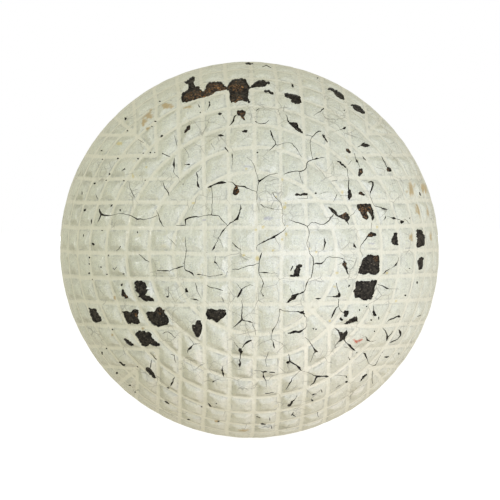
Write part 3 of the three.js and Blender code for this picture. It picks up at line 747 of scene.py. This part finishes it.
def inside(points, outline):
    """Which points of the plane a closed outline goes round."""
    turns = np.zeros(len(points), int)
    x, y = points[:, 0], points[:, 1]
    for (x0, y0), (x1, y1) in zip(outline, np.roll(outline, -1, 0)):
        if y0 != y1:
            crossed = ((y0 > y) != (y1 > y)) & (x < (x1 - x0) * (y - y0) / (y1 - y0) + x0)
            turns += np.where(crossed, 1 if y1 > y0 else -1, 0)
    return turns != 0


def in_holes(points, outlines):
    """Which points of the plane lie in any of the outlines."""
    found = np.zeros(len(points), bool)
    for o in outlines:
        near = np.flatnonzero(((points > o.min(0)) & (points < o.max(0))).all(1))
        found[near[inside(points[near], o)]] = True
    return found


def half_mesh(side, holes, rows, step, fill, spacing, extra=np.zeros((0, 3))):
    """Triangles of one half of the ball around its holes. The rim's points come first."""
    t = np.arange(RIM) * FULL_TURN / RIM
    rim = np.stack([np.cos(t), np.sin(t)], 1)
    outlines = [flatten(h, side) for h in holes]
    edge_points = np.concatenate([rim, *outlines])
    taken = raise_up(edge_points, side)
    extra = thin_out(extra, STAIN_SPACING, taken)
    p = thin_out(field_points(side, rows, step, fill), spacing, np.concatenate([taken, extra]))
    q = flatten(np.concatenate([extra, p]), side)
    points = np.concatenate([edge_points, q[~in_holes(q, outlines)]])
    edges, at = [], 0
    for o in [rim, *outlines]:
        edges += [(at + i, at + (i + 1) % len(o)) for i in range(len(o))]
        at += len(o)
    corners = [Vector(c) for c in points]
    flat, _, triangles, came_from, _, _ = delaunay_2d_cdt(corners, edges, [], 0, SAME_POINT)
    flat = np.array([c[:] for c in flat])
    place = np.full(len(flat), -1)
    for n, sources in enumerate(came_from):
        for s in sources:
            if s < RIM:
                place[n] = s
    rest = np.flatnonzero(place < 0)
    place[rest] = RIM + np.arange(len(rest))
    triangles = np.array(triangles)
    kept = place[triangles[~in_holes(flat[triangles].mean(1), outlines)]]
    if side > 0:
        kept = kept[:, ::-1]
    return np.concatenate([raise_up(rim, side), raise_up(flat[rest], side)]), kept


def whole_mesh(front, back):
    """Both halves joined along the rim."""
    (p, a), (q, b) = front, back
    b = np.where(b < RIM, b, b + len(p) - RIM)
    return np.concatenate([p, q[RIM:]]), np.concatenate([a, b])


def open_sides_of(faces):
    """Sides of faces, as pairs of points, that no other face shares."""
    sides = np.concatenate([faces[:, [0, 1]], faces[:, [1, 2]], faces[:, [2, 0]]])
    there = set(map(tuple, sides.tolist()))
    return sorted((a, b) for a, b in there if (b, a) not in there)


def in_one_piece(faces):
    """The faces that hang together, without loose flakes or places where two openings meet in a point."""
    while True:
        group = list(range(faces.max() + 1))

        def head(a):
            while group[a] != a:
                group[a] = group[group[a]]
                a = group[a]
            return a

        for a, b, c in faces.tolist():
            group[head(b)] = group[head(c)] = head(a)
        heads = np.array([head(a) for a in faces[:, 0].tolist()])
        faces = faces[heads == np.bincount(heads).argmax()]
        starts = np.bincount([a for a, _ in open_sides_of(faces)])
        pinched = np.flatnonzero(starts > 1)
        if not len(pinched):
            return faces
        faces = faces[~np.isin(faces, pinched).any(1)]


def chains(sides):
    """Closed chains of points that sides make end to end."""
    after = dict(sides)
    found = []
    while after:
        start, at = after.popitem()
        chain = [start]
        while at != start:
            chain.append(at)
            at = after.pop(at)
        found.append(chain)
    return found


def ragged(outline, rng, jag, piece, grow):
    """A closed outline moved out by grow and broken into pieces of about this length, moved by about jag."""
    after = np.roll(outline, -1, 0)
    way = np.sign((outline[:, 0] * after[:, 1] - outline[:, 1] * after[:, 0]).sum())
    result = []
    for a, b in zip(outline, after):
        along = b - a
        length = np.linalg.norm(along)
        out = np.array([along[1], -along[0]]) * way * grow / max(length, 1e-9)
        count = max(1, round(length / piece))
        for i in range(count):
            move = np.clip(rng.normal(0, jag, 2), -2 * jag, 2 * jag)
            result.append(a + along * (i + 0.25) / count + out + move * (0.5 if i == 0 else 1.0))
    return np.array(result)


def crack_outline(points, widths, rng, piece, jag):
    """Closed outline of a crack along points with its full widths, in pieces of about this length."""
    fine, size = [], []
    for a, b, w0, w1 in zip(points[:-1], points[1:], widths[:-1], widths[1:]):
        count = max(1, round(np.linalg.norm(b - a) / piece))
        for i in range(count):
            share = i / count
            fine.append(a + (b - a) * share + (rng.normal(0, jag, 2) if i else 0))
            size.append((w0 + (w1 - w0) * share) * rng.uniform(0.8, 1.2))
    fine, size = np.array([*fine, points[-1]]), np.array([*size, widths[-1]])
    across = unit(np.gradient(fine, axis=0))[:, ::-1] * (1, -1)
    half = across * size[:, None] / 2
    return np.concatenate([fine + half, (fine - half)[::-1]])


def front_holes():
    """Openings of the paint that the photograph shows. Their lengths are in pixels until the last step."""
    rng = np.random.default_rng(FRONT_SEED)
    holes = []
    for _, points in read_rows(CHIPS):
        holes.append(ragged(np.array(points), rng, jag=0.36, piece=1.3, grow=0.25))
    for _, points in read_rows(CRACKS):
        *line, width = np.array(points).T
        # Fine cracks open a little narrower than they were traced, and broad ones wider
        width = np.maximum((0.8 + 0.4 * np.minimum(width, 1.2)) * width, FINEST_CRACK)
        holes.append(crack_outline(np.stack(line, 1), width, rng, piece=2.6, jag=0.26))
    corners = 7
    turn = np.arange(corners) * FULL_TURN / corners
    for _, points in read_rows(PITS):
        for x, y, w, h in points:
            reach = rng.uniform(0.30, 0.52, corners)
            holes.append(np.stack([x + w * reach * np.cos(turn), y + h * reach * np.sin(turn)], 1))
    directions = on_ball(np.concatenate(holes))
    return np.split(directions, np.cumsum([len(h) for h in holes])[:-1])


def stain_points():
    """Closer points where a stain needs them, a pixel apart and a little beyond its edge."""
    found = []
    for _, groups in read_rows(STAINS):
        for x, y, w, h in groups:
            for i in np.arange(-w - 1.5, w + 1.6):
                found += [(x + i, y + j) for j in np.arange(-h - 1.5, h + 1.6)]
    return on_ball(found)


def back_holes():
    """Openings of the same kinds on the half that the photograph doesn't show, at seeded places, in mm."""
    rng = np.random.default_rng(BACK_SEED)
    holes = []

    def place():
        while True:
            d = unit(rng.normal(size=3))
            if d[1] > MIDDLES_FROM:
                u = unit(np.cross(d, rng.normal(size=3)))
                return d, np.stack([u, np.cross(d, u)])

    def lift(outline, d, plane):
        return unit(d + outline @ plane / RADIUS)

    for _ in range(BACK_CHIPS):
        d, plane = place()
        corners = int(rng.integers(7, 12))
        turn = np.sort(rng.uniform(0, FULL_TURN, corners))
        reach = rng.uniform(0.35, 1.25) * rng.uniform(0.55, 1.2, corners)
        outline = np.stack([reach * np.cos(turn), reach * np.sin(turn)], 1)
        holes.append(lift(ragged(outline, rng, jag=0.03, piece=0.2, grow=0.02), d, plane))
    for _ in range(BACK_CRACKS):
        d, plane = place()
        for arm in range(3 if rng.random() < 0.35 else 1):
            angle = arm * 2.1 + rng.uniform(-0.4, 0.4)
            line, width = [np.zeros(2)], [rng.uniform(0.08, 0.2)]
            for _ in range(int(rng.integers(2, 6))):
                angle += rng.uniform(-0.6, 0.6)
                line.append(line[-1] + rng.uniform(0.4, 0.9) * np.array([math.cos(angle), math.sin(angle)]))
                width.append(rng.uniform(0.04, 0.12))
            width[-1] = 0.035
            outline = crack_outline(np.array(line), np.array(width), rng, piece=0.3, jag=0.03)
            crack = lift(outline, d, plane)
            if crack[:, 1].min() > CRACKS_FROM:
                holes.append(crack)
    return holes


def add_object(name, data):
    obj = bpy.data.objects.new(name, data)
    bpy.context.scene.collection.objects.link(obj)
    return obj


def make_object(name, verts, faces):
    """A smooth mesh object from points in mm."""
    mesh = bpy.data.meshes.new(name)
    mesh.from_pydata((verts * MM).tolist(), [], faces)
    mesh.validate()
    mesh.polygons.foreach_set("use_smooth", [True] * len(mesh.polygons))
    return add_object(name, mesh)


def give(obj, name, values):
    """A number for each vertex, for the material to read."""
    obj.data.attributes.new(name, "FLOAT", "POINT").data.foreach_set("value", values.astype(np.float32))


def blots(p, groups):
    """How strongly each direction is covered by oval blots, with broken edges."""
    cover = np.zeros(len(p))
    for x, y, w, h in groups:
        c = on_ball((x, y))[0]
        off = (p - c) * RADIUS / PIXEL
        right, up = off @ camera_axes[0], off @ camera_axes[2]
        tilt = max(0.35, -(c @ camera_axes[1]))
        far = np.sqrt((right / w) ** 2 + (up / h) ** 2 + (off @ c) ** 2 * 0.01)
        near = (off**2).sum(1) < (3 * max(w, h) / tilt) ** 2
        edge = 1 + unevenness(p[near], STAIN_EDGE)
        cover[near] = np.maximum(cover[near], smooth((edge + 0.35 - far[near]) / 0.6))
    return cover


def gum_mesh(holes):
    """Triangles of the gum's face, or of the part of it around holes."""
    front = [h for h in holes if h[0, 1] < 0]
    back = [h for h in holes if h[0, 1] > 0]
    return whole_mesh(
        half_mesh(-1, front, GUM_ROWS, step=0.5, fill=0.42, spacing=0.26),
        half_mesh(1, back, GUM_ROWS, step=0.6, fill=0.6, spacing=0.32),
    )


def build_paint():
    """The worn film of paint: a closed mesh with an outer face, an underside and the edges of its openings."""
    p, faces = whole_mesh(
        half_mesh(-1, front_holes(), PAINT_ROWS, step=0.4, fill=0.42, spacing=0.178, extra=stain_points()),
        half_mesh(1, back_holes(), PAINT_ROWS, step=0.46, fill=0.52, spacing=0.2),
    )
    faces = in_one_piece(faces)
    share = groove_share(p)
    outer = p * film_radius(p, share)[:, None]

    # The underside lies on the gum, around the same openings
    open_sides = open_sides_of(faces)
    rim = np.array(sorted(a for a, _ in open_sides))
    q, under = gum_mesh([p[chain] for chain in chains(open_sides)])
    tree = KDTree(len(q))
    for n, c in enumerate(q):
        tree.insert(c, n)
    tree.balance()
    met = np.array([tree.find(c)[1] for c in p[rim]])
    share_under = groove_share(q)
    inner = q * (gum_radius(q, share_under) - SEATING)[:, None]

    # Broken edges of the paint, from its outer face down to the gum, on points of their own
    top = {v: len(p) + n for n, v in enumerate(rim)}
    walls = [(top[b], top[a], top[a] + len(rim), top[b] + len(rim)) for a, b in open_sides]
    under = under[:, ::-1] + len(p) + 2 * len(rim)
    verts = np.concatenate([outer, outer[rim], inner[met], inner])
    obj = make_object("paint_film_worn", verts, faces.tolist() + walls + under.tolist())

    normals = np.zeros((len(verts), 3))
    normals[: len(p)] = film_normals(p)
    corners = np.zeros(len(obj.data.loops), int)
    obj.data.loops.foreach_get("vertex_index", corners)
    obj.data.normals_split_custom_set(normals[corners].tolist())

    everywhere = np.concatenate([p, p[rim], p[rim], q])
    give(obj, "groove", np.concatenate([share, share[rim], share[rim], share_under]))
    give(obj, "broken", np.arange(len(everywhere)) >= len(p))
    for colour in STAIN_COLOURS:
        groups = [g for name, rows in read_rows(STAINS) if name == colour for g in rows]
        give(obj, "stain_" + colour, blots(everywhere, groups))
    return obj


def build_gum():
    """The ball of gum, which shows in the paint's openings."""
    p, faces = gum_mesh([])
    share = groove_share(p)
    obj = make_object("gutta_percha_ball", p * gum_radius(p, share)[:, None], faces.tolist())
    groups = [(x, y, r, r) for _, rows in read_rows(RUST) for x, y, r in rows]
    give(obj, "rust", blots(p, groups))
    return obj


class Nodes:
    """Short names for building one material. Lengths are in mm."""

    def __init__(self, name):
        self.material = bpy.data.materials.new(name)
        self.material.use_nodes = True
        self.tree = self.material.node_tree
        self.shader = self.tree.nodes["Principled BSDF"]
        place = self.add("ShaderNodeTexCoord").outputs["Object"]
        self.mm = self.add("ShaderNodeVectorMath", {0: place, "Scale": 1 / MM}, operation="SCALE").outputs[0]

    def add(self, kind, sockets=None, **settings):
        """A node with these settings, and a value or a link for each of these sockets."""
        node = self.tree.nodes.new(kind)
        for key, value in settings.items():
            setattr(node, key, value)
        for key, value in (sockets or {}).items():
            self.put(node.inputs[key], value)
        return node

    def put(self, socket, value):
        if isinstance(value, bpy.types.NodeSocket):
            self.tree.links.new(value, socket)
        elif socket.type == "RGBA":
            socket.default_value = (*value, 1)
        else:
            socket.default_value = value

    def finish(self, **sockets):
        """Sets the shader's sockets, named with _ for a space."""
        for key, value in sockets.items():
            self.put(self.shader.inputs[key.replace("_", " ")], value)
        return self.material

    def stretch(self, x, y, z):
        return self.add("ShaderNodeVectorMath", {0: self.mm, 1: (x, y, z)}, operation="MULTIPLY").outputs[0]

    def noise(self, size, detail=3, rough=0.55, where=None, shift=0):
        sockets = {"Vector": where or self.mm, "W": shift}
        sockets |= {"Scale": 1 / size, "Detail": detail, "Roughness": rough}
        return self.add("ShaderNodeTexNoise", sockets, noise_dimensions="4D").outputs["Fac"]

    def warped(self, amount):
        """Places in mm, shifted by a soft noise, so that straight edges become wavy."""
        drift = self.add("ShaderNodeTexNoise", {"Vector": self.mm, "Scale": 0.8}).outputs["Color"]
        sockets = {0: drift, 1: (amount, amount, amount), 2: self.mm}
        return self.add("ShaderNodeVectorMath", sockets, operation="MULTIPLY_ADD").outputs[0]

    def attribute(self, name):
        return self.add("ShaderNodeAttribute", attribute_name=name).outputs["Fac"]

    def math(self, operation, a, b):
        return self.add("ShaderNodeMath", {0: a, 1: b}, operation=operation).outputs[0]

    def times(self, a, b):
        return self.math("MULTIPLY", a, b)

    def span(self, value, low, high, to_low=0.0, to_high=1.0):
        """A smooth climb from to_low to to_high while the value goes from low to high."""
        sockets = {"Value": value, "From Min": low, "From Max": high, "To Min": to_low, "To Max": to_high}
        return self.add("ShaderNodeMapRange", sockets, interpolation_type="SMOOTHSTEP").outputs["Result"]

    def mix(self, share, a, b):
        return self.add("ShaderNodeMix", {0: share, 6: a, 7: b}, data_type="RGBA").outputs[2]

    def patches(self, colour, tint, share, low, high, **noise):
        """The colour with patches of a tint, up to this share, where a noise goes from low to high."""
        return self.mix(self.span(self.noise(**noise), low, high, 0.0, share), colour, tint)

    def bump(self, height, distance, strength, normal=None):
        sockets = {"Strength": strength, "Distance": distance * MM, "Height": height}
        if normal:
            sockets["Normal"] = normal
        return self.add("ShaderNodeBump", sockets).outputs["Normal"]


def paint_material():
    n = Nodes("aged_white_paint")
    groove = n.attribute("groove")
    core = n.span(groove, 0.92, 0.996)
    flank = n.times(n.span(groove, 0.02, 0.2), n.math("SUBTRACT", 1.0, core))

    # Pads: grey-white paint, worn thin and bluish in patches, and down their flanks worn and darkened by
    # painted shade
    colour = n.mix(n.span(n.noise(4.0), 0.35, 0.65), PAD_COOL, PAD_WARM)
    mottle = n.noise(0.55, detail=4, rough=0.65, shift=4)
    colour = n.mix(n.span(mottle, 0.48, 0.70, 0.0, 0.6), colour, MOTTLE_DARK)
    colour = n.mix(n.span(mottle, 0.50, 0.28, 0.0, 0.55), colour, MOTTLE_PALE)
    wide = n.stretch(1.0, 1.0, 1.6)
    colour = n.patches(colour, THIN_BLUE, 0.75, 0.53, 0.66, size=0.26, rough=0.6, where=wide, shift=26)
    colour = n.patches(colour, CHALK, 0.8, 0.54, 0.68, size=0.22, rough=0.6, shift=27)
    colour = n.patches(colour, GRAIN, 0.74, 0.42, 0.66, size=0.13, detail=2, rough=0.6, shift=28)
    colour = n.mix(n.times(flank, 0.35), colour, FLANK)
    # Down the flanks: worn paint, with painted shade
    worn = n.span(n.noise(1.3, detail=4, rough=0.6, shift=2), 0.42, 0.68, 0.0, 0.25)
    colour = n.mix(n.times(n.span(flank, 0.2, 0.9), worn), colour, WORN_FLANK_AND_SHADE)

    # Yellowed patches, warmer towards the foot of the ball
    height = n.add("ShaderNodeSeparateXYZ", {0: n.mm}).outputs["Z"]
    colour = n.mix(n.span(height, -3, -17, 0.0, 0.35), colour, FOOT_TINT)
    for size, shift in ((1.1, 12), (0.4, 14)):
        colour = n.patches(colour, FOXING, 0.45, 0.58, 0.74, size=size, detail=4, rough=0.65, shift=shift)

    # Cream paint that gathered in the grooves, and painted light that makes it brighter towards the foot of
    # the ball
    cream = n.times(core, n.span(n.noise(2.2, shift=7), 0.25, 0.6, 0.7, 1.0))
    colour = n.mix(cream, colour, CREAM)
    colour = n.mix(n.times(cream, n.span(height, -4, -14, 0.0, 0.6)), colour, LOW_CREAM_PAINTED_LIGHT)

    # Grime and painted shade at the foot of the pads, then hairlines, brush marks, dust and specks
    foot = n.times(n.span(groove, 0.70, 0.82), n.span(groove, 0.97, 0.90))
    grime_and_shade = n.span(n.noise(0.9, detail=4, rough=0.7, shift=8), 0.46, 0.64, 0.0, 0.55)
    colour = n.mix(n.times(foot, grime_and_shade), colour, GRIME_AND_SHADE)
    for size, width, share, shift in ((2.4, 0.022, 0.65, 10), (1.3, 0.035, 0.4, 11)):
        sockets = {"Vector": n.warped(0.5), "Scale": 1 / size}
        cells = n.add("ShaderNodeTexVoronoi", sockets, feature="DISTANCE_TO_EDGE").outputs["Distance"]
        patch = n.span(n.noise(3.5, detail=2, shift=shift), 0.52, 0.62)
        colour = n.mix(n.times(n.span(cells, width, width / 4, 0.0, share), patch), colour, HAIRLINE)
    strokes = n.noise(1.0, detail=4, rough=0.6, where=n.stretch(5.0, 5.0, 0.7), shift=3)
    colour = n.mix(n.span(strokes, 0.38, 0.75, 0.0, 0.22), colour, BRUSHED)
    colour = n.patches(colour, DUST, 0.16, 0.50, 0.72, size=7, detail=4, rough=0.65, shift=9)
    colour = n.patches(colour, SPECK, 0.7, 0.735, 0.775, size=0.3, detail=2, rough=0.5, shift=13)

    for name, (share, tint) in STAIN_COLOURS.items():
        colour = n.mix(n.times(n.attribute("stain_" + name), share), colour, tint)
    # Painted shade: the paint's broken edges and underside are coloured nearly black
    colour = n.mix(n.times(n.attribute("broken"), 0.92), colour, BROKEN_EDGE_SHADE)

    fine = n.math("ADD", n.noise(0.25, shift=19), n.times(strokes, 0.8))
    soft = n.bump(n.noise(0.8, detail=4, rough=0.6, shift=23), 0.2, 0.9)
    return n.finish(
        Base_Color=colour,
        Roughness=n.span(n.noise(0.9, detail=4, shift=17), 0.3, 0.7, 0.30, 0.55),
        Specular_IOR_Level=0.5,
        Coat_Weight=n.span(n.noise(2.0, shift=29), 0.34, 0.60, 0.1, 0.6),
        Coat_Roughness=0.16,
        Normal=n.bump(fine, 0.06, 0.9, soft),
    )


def gum_material():
    n = Nodes("bare_gutta_percha")
    rust = n.attribute("rust")
    grain = n.noise(0.35, detail=5, rough=0.7)
    colour = n.mix(n.span(grain, 0.38, 0.68), GUM_DARK, GUM_GREY)
    fibres = n.stretch(0.6, 1.0, 1.0)
    colour = n.patches(colour, GUM_PALE, 0.75, 0.57, 0.70, size=0.16, rough=0.6, where=fibres, shift=3)
    brown = n.span(n.noise(0.4, detail=5, rough=0.7, shift=6), 0.50, 0.64, 0.0, 0.85)
    colour = n.mix(n.times(rust, brown), colour, GUM_BROWN)
    amber = n.span(n.noise(0.2, rough=0.6, shift=7), 0.53, 0.66, 0.0, 0.85)
    colour = n.mix(n.times(rust, amber), colour, GUM_AMBER)
    return n.finish(
        Base_Color=colour,
        Roughness=n.span(grain, 0.3, 0.7, 0.85, 0.55),
        Specular_IOR_Level=0.25,
        Normal=n.bump(n.noise(0.3, detail=5, rough=0.7, shift=9), 0.16, 1.0),
    )


paint = build_paint()
paint.data.materials.append(paint_material())
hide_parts("paint_film")
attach(paint, "root")

gum = build_gum()
gum.data.materials.append(gum_material())
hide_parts("gutta_percha_body")
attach(gum, "root")


def stage_piece(name, verts, faces, glow, shade):
    """A white piece of the stage that only the camera sees, so that it leaves the light on the ball alone."""
    obj = make_object(name, np.array(verts), faces)
    material = bpy.data.materials.new(name)
    material.use_nodes = True
    shader = material.node_tree.nodes["Principled BSDF"]
    shader.inputs["Base Color"].default_value = (shade, shade, shade, 1)
    shader.inputs["Roughness"].default_value = 1.0
    shader.inputs["Specular IOR Level"].default_value = 0.0
    shader.inputs["Emission Color"].default_value = (1, 1, 1, 1)
    shader.inputs["Emission Strength"].default_value = glow
    obj.data.materials.append(material)
    obj.visible_diffuse = obj.visible_glossy = obj.visible_shadow = False
    obj.visible_transmission = obj.visible_volume_scatter = False


sides = (-STAGE_REACH, STAGE_REACH)
ground = [(x, y, -RADIUS) for x in sides for y in sides]
stage_piece("floor", ground, [(0, 2, 3, 1)], glow=0.88, shade=0.3)
box = list(itertools.product(sides, sides, sides))
walls = [(0, 1, 3, 2), (4, 6, 7, 5), (0, 4, 5, 1), (2, 3, 7, 6), (0, 2, 6, 4), (1, 5, 7, 3)]
stage_piece("surround", box, walls, glow=1.0, shade=0.0)

world = bpy.data.worlds.new("studio")
bpy.context.scene.world = world
world.use_nodes = True
background = world.node_tree.nodes["Background"]
background.inputs["Color"].default_value = (*SKY_COLOUR, 1)
background.inputs["Strength"].default_value = SKY_STRENGTH


def softbox(name, direction, distance, size, power, colour=(1, 1, 1), gloss=True):
    """An area light that faces the ball from a direction. Without gloss the paint doesn't reflect it."""
    light = bpy.data.lights.new(name, "AREA")
    light.shape = "RECTANGLE"
    light.size, light.size_y = size
    light.energy = power
    light.color = colour
    obj = add_object(name, light)
    obj.location = Vector(direction).normalized() * distance
    obj.rotation_euler = (-obj.location).to_track_quat("-Z", "Y").to_euler()
    obj.visible_camera = False
    obj.visible_glossy = gloss


# Lights: direction from the ball, distance and size in metres, power in watts and colour
softbox("key", (0.52, -0.852, 0.05), 0.9, (0.8, 0.8), 5.95, (0.724, 0.77, 1.0))
softbox("back_left", (-0.837, 0.224, 0.50), 0.9, (0.4, 0.5), 1.27, (0.77, 0.855, 1.0), gloss=False)
softbox("low_right", (0.58, -0.25, -0.775), 0.9, (0.5, 0.5), 1.38, (1.0, 0.78, 0.76))
softbox("rear", (0.0, 1.0, 0.0), 1.6, (0.4, 0.4), 11.5, (0.76, 0.82, 1.0), gloss=False)
softbox("window", (-0.93, -0.35, 0.12), 0.8, (0.18, 0.08), 0.52)

camera_data = bpy.data.cameras.new("camera")
camera_data.sensor_width = 36
camera_data.lens = camera_data.sensor_width / 2 / HALF_VIEW
camera_data.shift_x = (HALF_IMAGE - CENTRE[0]) / (2 * HALF_IMAGE)
camera_data.shift_y = (CENTRE[1] - HALF_IMAGE) / (2 * HALF_IMAGE)
camera_data.clip_start = 0.01
camera = add_object("camera", camera_data)
right, forward, up = (Vector(row) for row in camera_axes)
pose = Matrix((right, up, -forward)).transposed().to_4x4()
pose.translation = -forward * CAMERA_DISTANCE * RADIUS * MM
camera.matrix_world = pose
bpy.context.scene.camera = camera
bpy.context.scene.view_settings.view_transform = "Standard"
